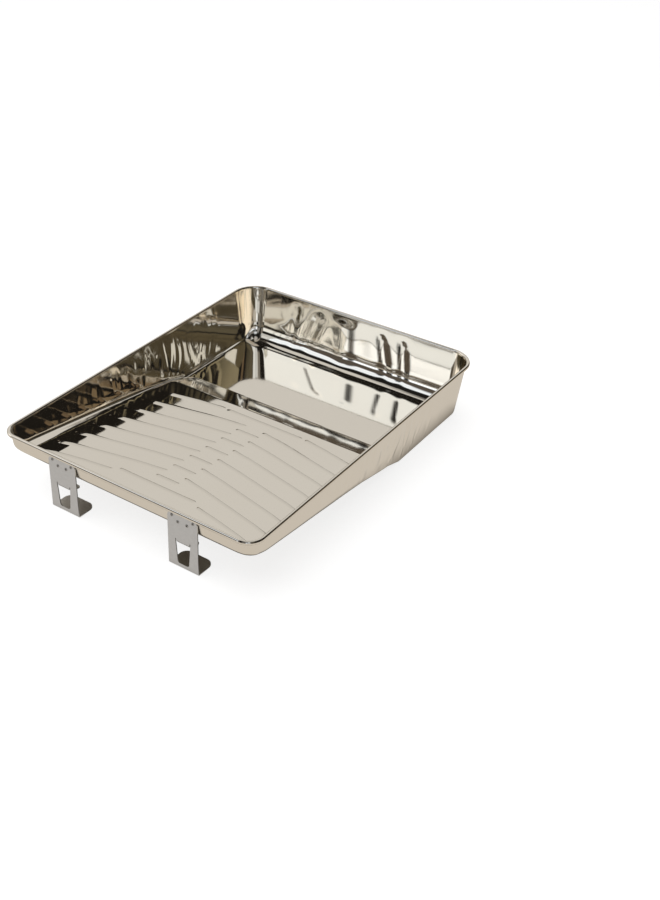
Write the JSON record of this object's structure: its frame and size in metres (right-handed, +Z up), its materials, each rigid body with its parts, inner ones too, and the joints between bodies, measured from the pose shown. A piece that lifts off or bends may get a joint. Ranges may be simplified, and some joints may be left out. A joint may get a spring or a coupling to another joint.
{
  "type": "paint roller tray",
  "caption": "Deep-well metal paint roller tray with a ribbed roll-off ramp, a rolled rim and bent sheet legs riveted under its shallow end.",
  "frame": {"origin": "on the surface the tray stands on, under the centre of the rim", "axes": "+Z up, +Y along the tray from the legs to the paint well, +X across the tray to the right when seen from the legs"},
  "size_m": [0.295, 0.395, 0.062],
  "materials": {
    "tinplate": "bright rolled tinplate, mirror-like with faint waviness",
    "galvanised_sheet": "satin zinc coating with soft spangle",
    "rivet_steel": "plain satin steel"
  },
  "bodies": {
    "root": {"tray_pan": "tinplate", "left_leg": "galvanised_sheet", "left_leg_rivets": "rivet_steel", "right_leg": "galvanised_sheet", "right_leg_rivets": "rivet_steel"}
  },
  "joints": []
}
